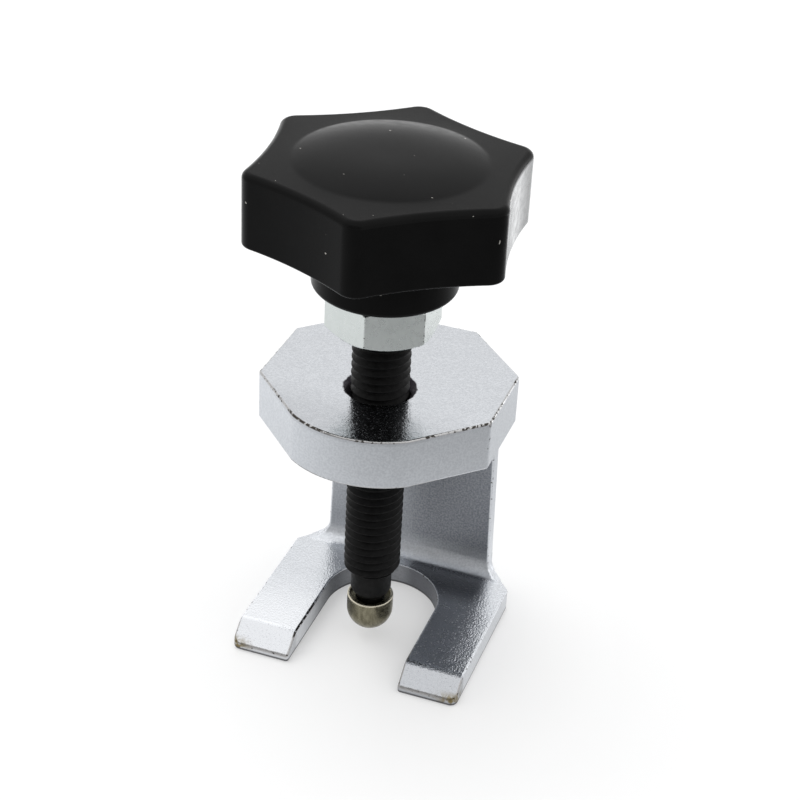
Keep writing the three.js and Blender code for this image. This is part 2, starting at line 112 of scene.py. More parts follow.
# Spindle
THREAD_BOTTOM = 14.9
THREAD_FULL = 16.15
THREAD_END_R = 3.85
NECK_R = 2.3
NECK_EDGE = 0.2
END_OVERLAP = 0.3
ENVELOPE_GAP = 0.1
RING_GROOVE_R = 1.95
RING_GROOVE = (6.95, 7.65)
NOSE_BOTTOM = 9.9
NOSE_CHAMFER_TOP = 11.1
NOSE_CHAMFER_R = 3
NOSE_R = 3.6
SPINDLE_CHAMFER = 1

# Tip
CAP_R = CAP_HIGH.x
CAP_RIM = 0.15
CAP_MOUTH_R = 3.65
CAP_MOUTH_BOTTOM = 8.6
CAP_BORE_R = 2.6
CAP_GROOVE_R = 3.1
CAP_GROOVE = (6.85, 7.75)
CAP_SEAT = (3.3, 5.6)
CAP_SEAT_R = 1
RING_R = 2.45
RING_WIRE_R = (RING_HIGH.z - RING_LOW.z) / 2
RING_OPENING = radians(50)

# Nut
NUT_FLATS = 17
NUT_FACE_R = 8.1
NUT_CHAMFER = 1
NUT_ANGLE = radians(31.6)
NUT_EDGE = 0.18

# Knob
KNOB_DOME = 1.3
KNOB_TOP = KNOB_HIGH.z - KNOB_DOME
KNOB_THICK = 12.5
KNOB_BOTTOM = KNOB_TOP - KNOB_THICK
KNOB_CORNER_R = 24.5
KNOB_WAIST_R = 20
KNOB_CORNER_FILLET = 3
KNOB_EDGE_TOP = 1.2
KNOB_EDGE_BOTTOM = 0.5
KNOB_ANGLE = radians(36.5)
KNOB_LOBES = 6
DOME_R = 16
DOME_POWER = 3
HUB_R = 12
HUB_EDGE = 0.9
HUB_FILLET = 0.8

# Bush
INSERT_R = INSERT_HIGH.x
INSERT_WAIST_R = 6.4
INSERT_WAIST = (75.5, 80.5)
INSERT_BORE_TOP = 84.6
INSERT_GAP = 0.3
INSERT_EDGE = 0.3

# Mesh building: how far cutters reach past what they cut, how near an edge must lie to a level
# to count as on it, and how close two points may be before they are one
ROUND = 96
CUT_MARGIN = 1
THREAD_OVERRUN = 2
EDGE_REACH = 0.1
MERGE_DISTANCE = 0.002

# Card that lies around the object
CARD_INNER = 45
CARD_OUTER = 600
CARD_HEIGHT = 0.5


# ---------------------------------------------------------------- points
def arc(x, y, radius, start, end, steps):
    """Points of an arc, both ends included."""
    turns = [start + (end - start) * i / steps for i in range(steps + 1)]
    return [(x + radius * cos(t), y + radius * sin(t)) for t in turns]


def mirrored(points):
    """The same points across the Y axis, in the other order."""
    return [(-x, y) for x, y in reversed(points)]


def circle(radius, z, sides=ROUND):
    """A ring of points about the Z axis, or its one point where the radius is zero."""
    if radius == 0:
        return [(0, 0, z)]
    turns = [2 * pi * i / sides for i in range(sides)]
    return [(radius * cos(t), radius * sin(t), z) for t in turns]


# ---------------------------------------------------------------- mesh building
def new_piece(name, points, faces):
    mesh = bpy.data.meshes.new(name)
    mesh.from_pydata(points, [], faces)
    piece = bpy.data.objects.new(name, mesh)
    scene.collection.objects.link(piece)
    return piece


def loft(name, rings):
    """A closed skin through rings of points, from its first ring up to its last."""
    points, faces = [], []
    for low, high in zip(rings, rings[1:]):
        a, b = len(points), len(points) + len(low)
        points.extend(low)
        count = max(len(low), len(high))
        for i in range(count):
            j = (i + 1) % count
            if len(low) == 1:
                faces.append((a, b + j, b + i))
            elif len(high) == 1:
                faces.append((a + i, a + j, b))
            else:
                faces.append((a + i, a + j, b + j, b + i))
    points.extend(rings[-1])
    return new_piece(name, points, faces)


def turned(name, profile, sides=ROUND):
    """A turned solid from (radius, height) points that start and end on the axis."""
    return loft(name, [circle(radius, z, sides) for radius, z in profile])


def prism(name, outline, place):
    """A prism between the outline's two copies; place(u, v, end) gives a corner at end 0 or 1."""
    count = len(outline)
    points = [place(u, v, end) for end in (0, 1) for u, v in outline]
    walls = [(i, (i + 1) % count, count + (i + 1) % count, count + i) for i in range(count)]
    ends = [tuple(reversed(range(count))), tuple(range(count, 2 * count))]
    return new_piece(name, points, walls + ends)


def raised(name, outline, low, high):
    """A flat outline in X and Y, raised from low to high."""
    return prism(name, outline, lambda x, y, end: (x, y, high if end else low))


def spread(name, outline, half):
    """A side outline in Y and Z, spread over both sides of the middle."""
    return prism(name, outline, lambda y, z, end: (half if end else -half, y, z))


def bake(piece):
    """Makes the piece's modifiers part of its mesh."""
    graph = bpy.context.evaluated_depsgraph_get()
    mesh = bpy.data.meshes.new_from_object(piece.evaluated_get(graph))
    piece.modifiers.clear()
    old, piece.data = piece.data, mesh
    bpy.data.meshes.remove(old)
    mesh.name = piece.name


def combine(piece, operation, *tools):
    """Joins, cuts or intersects the piece with each tool, which is used up."""
    for tool in tools:
        step = piece.modifiers.new(operation, "BOOLEAN")
        step.operation = operation
        step.solver = "MANIFOLD"
        step.object = tool
        bake(piece)
        bpy.data.objects.remove(tool)
    return piece


def merge_flats(piece, angle=0.3):
    """Joins the triangles of each flat face into one face."""
    shape = bmesh.new()
    shape.from_mesh(piece.data)
    bmesh.ops.remove_doubles(shape, verts=shape.verts, dist=MERGE_DISTANCE)
    bmesh.ops.dissolve_limit(
        shape, angle_limit=radians(angle), verts=shape.verts, edges=shape.edges
    )
    shape.to_mesh(piece.data)
    shape.free()


def round_edges(piece, width, segments, choose=None, angle=25):
    """Rounds outward edges sharper than angle, where choose(edge) says so, and stores 1
    inside the rounded strips and 0 elsewhere in the mesh's wear attribute."""
    shape = bmesh.new()
    shape.from_mesh(piece.data)
    weights = shape.edges.layers.float.new("bevel_weight_edge")
    for edge in shape.edges:
        sharp = edge.is_convex and edge.calc_face_angle() > radians(angle)
        edge[weights] = 1 if sharp and (choose is None or choose(edge)) else 0
    shape.to_mesh(piece.data)
    shape.free()
    for _ in range(2):
        piece.data.materials.append(None)
    step = piece.modifiers.new("rounding", "BEVEL")
    step.width = width
    step.segments = segments
    step.limit_method = "WEIGHT"
    step.use_clamp_overlap = False
    step.material = 1
    bake(piece)
    mesh = piece.data
    flat = [False] * len(mesh.vertices)
    for face in mesh.polygons:
        if face.material_index == 0:
            for index in face.vertices:
                flat[index] = True
    layer = mesh.attributes.new("wear", "FLOAT", "POINT")
    layer.data.foreach_set("value", [0.0 if is_flat else 1.0 for is_flat in flat])
    for face in mesh.polygons:
        face.material_index = 0
    mesh.materials.clear()
    return piece


def settle(piece, body, nodes, material, sharp=35):
    """Shades the piece, turns it into metres and puts it in its CAD nodes' place."""
    mesh = piece.data
    mesh.transform(Matrix.Translation((0, AXIS_Y, 0)) @ Matrix.Scale(MM, 4))
    for face in mesh.polygons:
        face.use_smooth = True
    mesh.set_sharp_from_angle(angle=radians(sharp))
    even = piece.modifiers.new("even_shading", "WEIGHTED_NORMAL")
    even.keep_sharp = True
    even.weight = 100
    bake(piece)
    piece.data.materials.clear()
    piece.data.materials.append(material)
    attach(piece, body)
    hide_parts(*nodes)
    return piece


# ---------------------------------------------------------------- thread
def ridge_half(radius, crest_half):
    return crest_half + (CREST_R - radius) * FLANK


def spindle_ridge():
    """One pitch of the spindle's thread: rounded crest and root."""
    foot = ROOT_R + ROOT_ROUND
    shoulder = CREST_R - CREST_SHOULDER
    return [
        (-ridge_half(shoulder, CREST_HALF), shoulder),
        (-CREST_HALF / 2, CREST_R),
        (CREST_HALF / 2, CREST_R),
        (ridge_half(shoulder, CREST_HALF), shoulder),
        (ridge_half(foot, CREST_HALF), foot),
        (PITCH / 2, ROOT_R),
        (PITCH - ridge_half(foot, CREST_HALF), foot),
    ]


def bore_ridge():
    """One pitch of the space inside a mating thread."""
    half = ridge_half(BORE_R, CREST_HALF + THREAD_PLAY)
    return [(0, BORE_R + half / FLANK), (half, BORE_R), (PITCH - half, BORE_R)]


def threaded_rod(name, ridge, low, high):
    """A right-handed threaded rod, longer than low to high, closed at a point at each end.
    Its rows follow the helix, so one turn's last column meets the next turn's first."""
    rows_per_turn = len(ridge)
    start = floor(low / PITCH) - 1
    turns = ceil(high / PITCH) + 1 - start
    rows = turns * rows_per_turn
    column_height = rows + rows_per_turn + 1
    points = []
    for column in range(THREAD_SIDES):
        angle = 2 * pi * column / THREAD_SIDES
        for row in range(column_height):
            offset, radius = ridge[row % rows_per_turn]
            turn = start + row // rows_per_turn + column / THREAD_SIDES
            points.append((radius * cos(angle), radius * sin(angle), turn * PITCH + offset))
    bottom = len(points)
    points.append((0, 0, (start - 1) * PITCH))
    points.append((0, 0, (start + turns + 2) * PITCH))

    def corner(column, row):
        if column < THREAD_SIDES:
            return column * column_height + row
        return row + rows_per_turn

    faces = []
    for column in range(THREAD_SIDES):
        for row in range(rows):
            a, b = corner(column, row), corner(column + 1, row)
            faces.append((a, b, b + 1, a + 1))
    low_loop = [corner(0, row) for row in range(rows_per_turn)]
    low_loop += [corner(THREAD_SIDES - column, 0) for column in range(THREAD_SIDES)]
    high_loop = [corner(0, rows + rows_per_turn - row) for row in range(rows_per_turn)]
    high_loop += [corner(column, rows) for column in range(THREAD_SIDES)]
    for loop, tip in ((low_loop, bottom), (high_loop, bottom + 1)):
        faces += [(a, b, tip) for a, b in zip(loop, loop[1:] + loop[:1])]
    piece = new_piece(name, points, faces)
    merge_unused(piece)
    return piece


def merge_unused(piece):
    """Drops the spare points of the short columns."""
    shape = bmesh.new()
    shape.from_mesh(piece.data)
    loose = [point for point in shape.verts if not point.link_faces]
    bmesh.ops.delete(shape, geom=loose, context="VERTS")
    shape.to_mesh(piece.data)
    shape.free()


# ---------------------------------------------------------------- frame
def head_outline():
    down = -pi / 2
    nose = arc(
        0, 0, HEAD_NOSE_RADIUS,
        down - HEAD_NOSE_HALF_ANGLE, down + HEAD_NOSE_HALF_ANGLE, 36,
    )
    right = [
        (HEAD_HALF_WIDTH, HEAD_SIDE_FRONT_Y),
        (HEAD_HALF_WIDTH, HEAD_SIDE_BACK_Y),
        (HEAD_BACK_HALF, BACK_Y),
    ]
    return nose + right + mirrored(right)


def fork_outline():
    right = [
        *arc(SLOT_RADIUS + TIP_INNER_RADIUS, TIP_Y + TIP_INNER_RADIUS, TIP_INNER_RADIUS,
             pi, 1.5 * pi, 6),
        *arc(FORK_HALF_WIDTH - TIP_OUTER_RADIUS, TIP_Y + TIP_OUTER_RADIUS, TIP_OUTER_RADIUS,
             -pi / 2, 0, 8),
        (FORK_HALF_WIDTH, FORK_SHOULDER_Y),
        (WEB_HALF_BOTTOM, FORK_CORNER_Y),
        *web_back_corner(),
    ]
    slot = arc(0, SLOT_CENTRE_Y, SLOT_RADIUS, pi, 0, 48)
    return right + mirrored(right) + slot


def web_back_corner():
    radius = WEB_BACK_RADIUS
    return arc(WEB_HALF_BOTTOM - radius, BACK_Y - radius, radius, 0, pi / 2, 8)


def web_half(z):
    """The web's half-width: full at the fork, narrowing up to the head."""
    share = (z - FORK_THICK) / (HEAD_BOTTOM - FORK_THICK)
    return WEB_HALF_BOTTOM + (WEB_HALF_TOP - WEB_HALF_BOTTOM) * min(1, max(0, share))


def web():
    """The back web: tapered, with rounded back corners, and a fillet at its head and foot."""
    inner = WEB_FRONT_Y - INNER_FILLET
    low, high = FORK_THICK / 2, HEAD_TOP - FORK_THICK / 2
    side = [
        (BACK_Y, low),
        (BACK_Y, high),
        (inner, high),
        *arc(inner, HEAD_BOTTOM - INNER_FILLET, INNER_FILLET, pi / 2, 0, 12),
        *arc(inner, FORK_THICK + INNER_FILLET, INNER_FILLET, 0, -pi / 2, 12),
        (inner, low),
    ]
    right = [(WEB_HALF_BOTTOM, WEB_MASK_FRONT_Y), *web_back_corner()]
    plan = right + mirrored(right)
    middle = (WEB_MASK_FRONT_Y + BACK_Y) / 2
    rings = [[(0, middle, low)]]
    for z in (low, FORK_THICK, HEAD_BOTTOM, high):
        rings.append([(x * web_half(z) / WEB_HALF_BOTTOM, y, z) for x, y in plan])
    rings.append([(0, middle, high)])
    slab = combine(loft("web", rings), "UNION", *[web_foot(sign) for sign in (-1, 1)])
    combine(slab, "INTERSECT", spread("side", side, FORK_HALF_WIDTH))
    combine(slab, "DIFFERENCE", *[shoulder_cut(sign) for sign in (-1, 1)])
    merge_flats(slab)
    above = FORK_THICK + EDGE_ROUND

    def exposed(edge):
        return max(end.co.z for end in edge.verts) > above

    return round_edges(slab, EDGE_ROUND, 4, exposed)


def web_foot(sign):
    """The fillet between one side of the web and the top of the fork."""
    top = FORK_THICK + INNER_FILLET
    wall = web_half(top)
    outline = [
        (wall - CUT_MARGIN, FORK_THICK / 2),
        (wall + INNER_FILLET, FORK_THICK / 2),
        *arc(wall + INNER_FILLET, top, INNER_FILLET, -pi / 2, -pi, 12),
        (wall - CUT_MARGIN, top),
    ]
    if sign < 0:
        outline = mirrored(outline)
    foot = prism("foot", outline,
                 lambda x, z, end: (x, WEB_MASK_FRONT_Y if end else BACK_Y, z))
    return combine(foot, "INTERSECT", raised("limit", fork_outline(), 0, HEAD_BOTTOM))


def shoulder_cut(sign):
    """What a 45 degree plane under the head's cut-off back corner takes from the web."""
    run = Vector((HEAD_HALF_WIDTH - HEAD_BACK_HALF, BACK_Y - HEAD_SIDE_BACK_Y))
    reach = run.length
    outline = [(-reach, reach), (reach, -reach), (2 * reach, 0), (0, 2 * reach)]
    block = prism("cut", outline, lambda u, w, end: ((1 if end else -1) * 2 * reach, u, w))
    turn = Matrix.Rotation(-sign * atan2(run.y, run.x), 4, "Z")
    place = Matrix.Translation((sign * HEAD_BACK_HALF, BACK_Y, HEAD_BOTTOM))
    block.data.transform(place @ turn)
    return block


def bore_mouth(radius, face, direction):
    """A 45 degree countersink that opens at z = face."""
    depth = radius - BORE_R
    profile = [
        (0, face - direction * depth),
        (BORE_R, face - direction * depth),
        (radius + CUT_MARGIN, face + direction * CUT_MARGIN),
        (0, face + direction * CUT_MARGIN),
    ]
    return turned("mouth", profile if direction > 0 else profile[::-1])


def fork():
    """The fork plate, rounded all over but where the web stands on it, with sloped tips."""
    piece = raised("fork", fork_outline(), 0, FORK_THICK)
    fall = atan2(FORK_THICK - TIP_EDGE, TIP_SLOPE_Y - TIP_Y)
    start = TIP_SLOPE_Y + TIP_BREAK_RADIUS * tan(fall / 2)
    reach = 4
    slope = [
        (start, FORK_THICK + reach),
        *arc(start, FORK_THICK - TIP_BREAK_RADIUS, TIP_BREAK_RADIUS, pi / 2, pi / 2 + fall, 5),
        (TIP_Y - reach, TIP_EDGE - reach * tan(fall)),
        (TIP_Y - reach, FORK_THICK + reach),
    ]
    combine(piece, "DIFFERENCE", spread("slope", slope[::-1], 2 * FORK_HALF_WIDTH))
    merge_flats(piece)

    def exposed(edge):
        at_web = all(end.co.y > FORK_CORNER_Y - EDGE_REACH for end in edge.verts)
        highest = max(end.co.z for end in edge.verts)
        return not (at_web and highest > FORK_THICK - EDGE_REACH)

    return round_edges(piece, EDGE_ROUND, 4, exposed)


def head():
    piece = raised("head", head_outline(), HEAD_BOTTOM, HEAD_TOP)

    def exposed(edge):
        at_web = all(end.co.y > HEAD_SIDE_BACK_Y - EDGE_REACH for end in edge.verts)
        highest = max(end.co.z for end in edge.verts)
        return not (at_web and highest < HEAD_BOTTOM + EDGE_REACH)

    return round_edges(piece, EDGE_ROUND, 4, exposed)


def frame_forging():
    piece = combine(fork(), "UNION", web(), head())
    piece.name = "frame_forging"
    merge_flats(piece)
    combine(
        piece, "DIFFERENCE",
        threaded_rod("thread", bore_ridge(), HEAD_BOTTOM - THREAD_OVERRUN,
                     HEAD_TOP + THREAD_OVERRUN),
        bore_mouth(BORE_MOUTH_TOP_R, HEAD_TOP, 1),
        bore_mouth(BORE_MOUTH_BOTTOM_R, HEAD_BOTTOM, -1),
    )
    return piece


# ---------------------------------------------------------------- spindle and tip
def threaded_spindle():
    outside = CREST_R + ENVELOPE_GAP
    envelope = turned("envelope", [
        (0, THREAD_BOTTOM),
        (THREAD_END_R, THREAD_BOTTOM),
        (outside, THREAD_FULL),
        (outside, SPINDLE_HIGH.z - SPINDLE_CHAMFER),
        (outside - SPINDLE_CHAMFER, SPINDLE_HIGH.z),
        (0, SPINDLE_HIGH.z),
    ])
    piece = threaded_rod("threaded_spindle", spindle_ridge(), THREAD_BOTTOM, SPINDLE_HIGH.z)
    combine(piece, "INTERSECT", envelope)
    end = turned("end", [
        (0, SPINDLE_LOW.z),
        (NECK_R - NECK_EDGE, SPINDLE_LOW.z),
        (NECK_R, SPINDLE_LOW.z + NECK_EDGE),
        (NECK_R, RING_GROOVE[0]),
        (RING_GROOVE_R, RING_GROOVE[0]),
        (RING_GROOVE_R, RING_GROOVE[1]),
        (NECK_R, RING_GROOVE[1]),
        (NECK_R, NOSE_BOTTOM),
        (NOSE_CHAMFER_R, NOSE_BOTTOM),
        (NOSE_R, NOSE_CHAMFER_TOP),
        (NOSE_R, THREAD_BOTTOM + END_OVERLAP),
        (0, THREAD_BOTTOM + END_OVERLAP),
    ])
    return combine(piece, "UNION", end)


def swivel_cap():
    dome = arc(0, CAP_LOW.z + CAP_R, CAP_R, -pi / 2, 0, 16)[1:]
    top = CAP_HIGH.z
    return turned("swivel_cap", [
        (0, CAP_LOW.z),
        *dome,
        *arc(CAP_R - CAP_RIM, top - CAP_RIM, CAP_RIM, 0, pi / 2, 3),
        *arc(CAP_MOUTH_R + CAP_RIM / 2, top - CAP_RIM / 2, CAP_RIM / 2, pi / 2, pi, 3),
        (CAP_MOUTH_R, CAP_MOUTH_BOTTOM),
        (CAP_BORE_R, CAP_MOUTH_BOTTOM),
        (CAP_BORE_R, CAP_GROOVE[1]),
        (CAP_GROOVE_R, CAP_GROOVE[1]),
        (CAP_GROOVE_R, CAP_GROOVE[0]),
        (CAP_BORE_R, CAP_GROOVE[0]),
        (CAP_BORE_R, CAP_SEAT[1]),
        (CAP_SEAT_R, CAP_SEAT[0]),
        (0, CAP_SEAT[0]),
    ])


def bearing_ball():
    radius = (BALL_HIGH.z - BALL_LOW.z) / 2
    profile = arc(0, BALL_LOW.z + radius, radius, -pi / 2, pi / 2, 20)
    profile[0] = (0, BALL_LOW.z)
    profile[-1] = (0, BALL_HIGH.z)
    return turned("bearing_ball", profile, 32)


def retaining_ring():
    """An open wire ring with rounded ends."""
    middle = (RING_LOW.z + RING_HIGH.z) / 2
    first, last = RING_OPENING / 2, 2 * pi - RING_OPENING / 2
    end = RING_WIRE_R / RING_R
    steps = 60
    rings = []
    stations = [(first - end * cos(t), RING_WIRE_R * sin(t)) for t in (0, pi / 6, pi / 3)]
    stations += [(first + (last - first) * i / steps, RING_WIRE_R) for i in range(steps + 1)]
    stations += [(last + end * cos(t), RING_WIRE_R * sin(t)) for t in (pi / 3, pi / 6, 0)]
    for turn, wire in stations:
        if wire == 0:
            rings.append([(RING_R * cos(turn), RING_R * sin(turn), middle)])
            continue
        section = arc(RING_R, middle, wire, 0, -2 * pi, 12)[:-1]
        rings.append([(r * cos(turn), r * sin(turn), z) for r, z in section])
    return loft("retaining_ring", rings)


# ---------------------------------------------------------------- nut
def hex_nut():
    corner = NUT_FLATS / sqrt(3)
    hexagon = arc(0, 0, corner, NUT_ANGLE, NUT_ANGLE + 2 * pi, 6)[1:]
    outside = corner + NUT_CHAMFER
    turning = turned("turning", [
        (0, NUT_LOW.z),
        (NUT_FACE_R, NUT_LOW.z),
        (outside, NUT_LOW.z + NUT_CHAMFER * (outside - NUT_FACE_R) / (corner - NUT_FACE_R)),
        (outside, NUT_HIGH.z - NUT_CHAMFER * (outside - NUT_FACE_R) / (corner - NUT_FACE_R)),
        (NUT_FACE_R, NUT_HIGH.z),
        (0, NUT_HIGH.z),
    ], 144)
    piece = raised("hex_nut", hexagon, NUT_LOW.z - CUT_MARGIN, NUT_HIGH.z + CUT_MARGIN)
    combine(piece, "INTERSECT", turning)
    merge_flats(piece)
    round_edges(piece, NUT_EDGE, 3, angle=20)
    combine(
        piece, "DIFFERENCE",
        threaded_rod("thread", bore_ridge(), NUT_LOW.z - THREAD_OVERRUN,
                     NUT_HIGH.z + THREAD_OVERRUN),
        bore_mouth(BORE_MOUTH_BOTTOM_R, NUT_LOW.z, -1),
    )
    return piece


# ---------------------------------------------------------------- knob
def star_ring(inset, z):
    """The knob's outline pulled in by inset: hollow sides on large circles, rounded corners."""
    half = pi / KNOB_LOBES
    side_centre = (KNOB_CORNER_R**2 - KNOB_WAIST_R**2) / (
        2 * (KNOB_CORNER_R * cos(half) - KNOB_WAIST_R)
    )
    side_radius = side_centre - KNOB_WAIST_R
    across = side_centre * sin(half)
    reach = sqrt((side_radius + KNOB_CORNER_FILLET) ** 2 - across**2)
    corner_centre = side_centre * cos(half) - reach
    corner_half = atan2(across, reach)
    side_half = corner_half - half
    points = []
    for lobe in range(KNOB_LOBES):
        corner = KNOB_ANGLE + lobe * 2 * half
        side = corner + half
        points += arc(
            corner_centre * cos(corner), corner_centre * sin(corner),
            KNOB_CORNER_FILLET - inset, corner - corner_half, corner + corner_half, 12,
        )
        points += arc(
            side_centre * cos(side), side_centre * sin(side),
            side_radius + inset, side + pi + side_half, side + pi - side_half, 24,
        )[1:-1]
    return [(x, y, z) for x, y in points]


def round_ring(radius, z):
    """A circle with a point in the direction of each point of the knob's outline."""
    turns = [atan2(y, x) for x, y, _ in star_ring(0, z)]
    return [(radius * cos(t), radius * sin(t), z) for t in turns]


def star_knob():
    seat = INSERT_R + INSERT_GAP
    waist = INSERT_WAIST_R + INSERT_GAP
    step = INSERT_R - INSERT_WAIST_R
    rings = [[(0, 0, INSERT_HIGH.z + INSERT_GAP)]]
    rings += [round_ring(radius, z) for radius, z in (
        (seat, INSERT_HIGH.z + INSERT_GAP),
        (seat, INSERT_WAIST[1]),
        (waist, INSERT_WAIST[1] - step),
        (waist, INSERT_WAIST[0] + step),
        (seat, INSERT_WAIST[0]),
        (seat, KNOB_LOW.z),
    )]
    hub = arc(HUB_R - HUB_EDGE, KNOB_LOW.z + HUB_EDGE, HUB_EDGE, -pi / 2, 0, 6)
    hub += arc(HUB_R + HUB_FILLET, KNOB_BOTTOM - HUB_FILLET, HUB_FILLET, pi, pi / 2, 5)
    rings += [round_ring(radius, z) for radius, z in hub]
    low_edge = arc(KNOB_EDGE_BOTTOM, KNOB_BOTTOM + KNOB_EDGE_BOTTOM, KNOB_EDGE_BOTTOM,
                   -pi / 2, -pi, 4)
    high_edge = arc(KNOB_EDGE_TOP, KNOB_TOP - KNOB_EDGE_TOP, KNOB_EDGE_TOP, pi, pi / 2, 8)
    rings += [star_ring(inset, z) for inset, z in low_edge + high_edge]
    dome_steps = 20
    for i in range(dome_steps):
        share = 1 - i / dome_steps
        rings.append(round_ring(DOME_R * share, KNOB_HIGH.z - KNOB_DOME * share**DOME_POWER))
    rings.append([(0, 0, KNOB_HIGH.z)])
    return loft("star_knob", rings)


def threaded_bush():
    """The bush that the knob is moulded around, knurled above and below its waist."""
    step = INSERT_R - INSERT_WAIST_R
    profile = [
        (INSERT_R - INSERT_EDGE, INSERT_LOW.z),
        (INSERT_R, INSERT_LOW.z + INSERT_EDGE),
        (INSERT_R, INSERT_WAIST[0]),
        (INSERT_WAIST_R, INSERT_WAIST[0] + step),
        (INSERT_WAIST_R, INSERT_WAIST[1] - step),
        (INSERT_R, INSERT_WAIST[1]),
        (INSERT_R, INSERT_HIGH.z - INSERT_EDGE),
        (INSERT_R - INSERT_EDGE, INSERT_HIGH.z),
    ]
    teeth, depth = 72, 0.2
    rings = [[(0, 0, INSERT_LOW.z)]]
    for radius, z in profile:
        knurled = radius == INSERT_R
        ring = []
        for i in range(2 * teeth):
            r = radius - depth if knurled and i % 2 else radius
            ring.append((r * cos(pi * i / teeth), r * sin(pi * i / teeth), z))
        rings.append(ring)
    rings.append([(0, 0, INSERT_HIGH.z)])
    piece = loft("threaded_bush", rings)
    bore = threaded_rod("thread", bore_ridge(), INSERT_LOW.z - THREAD_OVERRUN,
                        INSERT_BORE_TOP + THREAD_OVERRUN)
    limit = turned("limit", [
        (0, INSERT_LOW.z - CUT_MARGIN),
        (BORE_R + THREAD_OVERRUN, INSERT_LOW.z - CUT_MARGIN),
        (BORE_R + THREAD_OVERRUN, INSERT_BORE_TOP),
        (0, INSERT_BORE_TOP),
    ])
    return combine(piece, "DIFFERENCE", combine(bore, "INTERSECT", limit))


# ---------------------------------------------------------------- materials
def node(tree, kind, inputs=None, **settings):
    """A shader node; an input is a value or another node's output."""
    made = tree.nodes.new("ShaderNode" + kind)
    for key, value in settings.items():
        setattr(made, key, value)
    for key, value in (inputs or {}).items():
        if isinstance(value, bpy.types.NodeSocket):
            tree.links.new(value, made.inputs[key])
        else:
            made.inputs[key].default_value = value
    return made


def rgb(red, green, blue):
    return (red, green, blue, 1)


class Finish:
    """A Principled material with a few short ways to drive it.
    Its places are millimetres about the spindle's axis."""

    def __init__(self, name, **values):
        self.material = bpy.data.materials.new(name)
        self.material.use_nodes = True
        self.tree = self.material.node_tree
        self.shader = self.tree.nodes["Principled BSDF"]
        for key, value in values.items():
            self.shader.inputs[key.replace("_", " ")].default_value = value
        self.object = node(self.tree, "TexCoord").outputs
        self.place = node(self.tree, "Mapping", {
            "Vector": self.object["Object"], "Scale": (1 / MM, 1 / MM, 1 / MM),
            "Location": (0, -AXIS_Y / MM, 0),
        }).outputs[0]
        parts = node(self.tree, "SeparateXYZ", {"Vector": self.place})
        self.x, self.y, self.z = parts.outputs

    def drive(self, name, output):
        self.tree.links.new(output, self.shader.inputs[name])

    def noise(self, size, detail=2, stretch=None, roughness=0.5):
        """Noise of that grain size, from 0 to 1, drawn out by stretch along X, Y and Z."""
        place = self.place
        if stretch:
            place = node(self.tree, "Mapping", {"Vector": place, "Scale": stretch}).outputs[0]
        return node(self.tree, "TexNoise", {
            "Vector": place, "Scale": 1 / size, "Detail": detail, "Roughness": roughness,
        }).outputs["Fac"]

    def range(self, value, low, high, to_low=0.0, to_high=1.0):
        """A soft step from to_low, where the value is low, to to_high, where it is high.
        Low may be the larger of the two."""
        return node(self.tree, "MapRange", {
            "Value": value, "From Min": low, "From Max": high,
            "To Min": to_low, "To Max": to_high,
        }, interpolation_type="SMOOTHSTEP").outputs["Result"]

    def math(self, operation, first, second=0.0):
        return node(self.tree, "Math", {0: first, 1: second}, operation=operation).outputs[0]

    def product(self, first, *others):
        for other in others:
            first = self.math("MULTIPLY", first, other)
        return first

    def mix(self, share, first, second):
        """A colour that goes from first to second."""
        return node(self.tree, "Mix", {0: share, 6: first, 7: second},
                    data_type="RGBA").outputs[2]

    def bump(self, height, depth, normal=None):
        inputs = {"Height": height, "Distance": depth * MM}
        if normal:
            inputs["Normal"] = normal
        return node(self.tree, "Bump", inputs).outputs["Normal"]

    def away(self, x, y, z):
        """The distance from a point, which may be another node's output per axis."""
        centre = node(self.tree, "CombineXYZ", {"X": x, "Y": y, "Z": z}).outputs[0]
        return node(self.tree, "VectorMath", {0: self.place, 1: centre},
                    operation="DISTANCE").outputs["Value"]

    def wear(self):
        """1 on the rounded edges."""
        return node(self.tree, "Attribute", attribute_name="wear").outputs["Fac"]


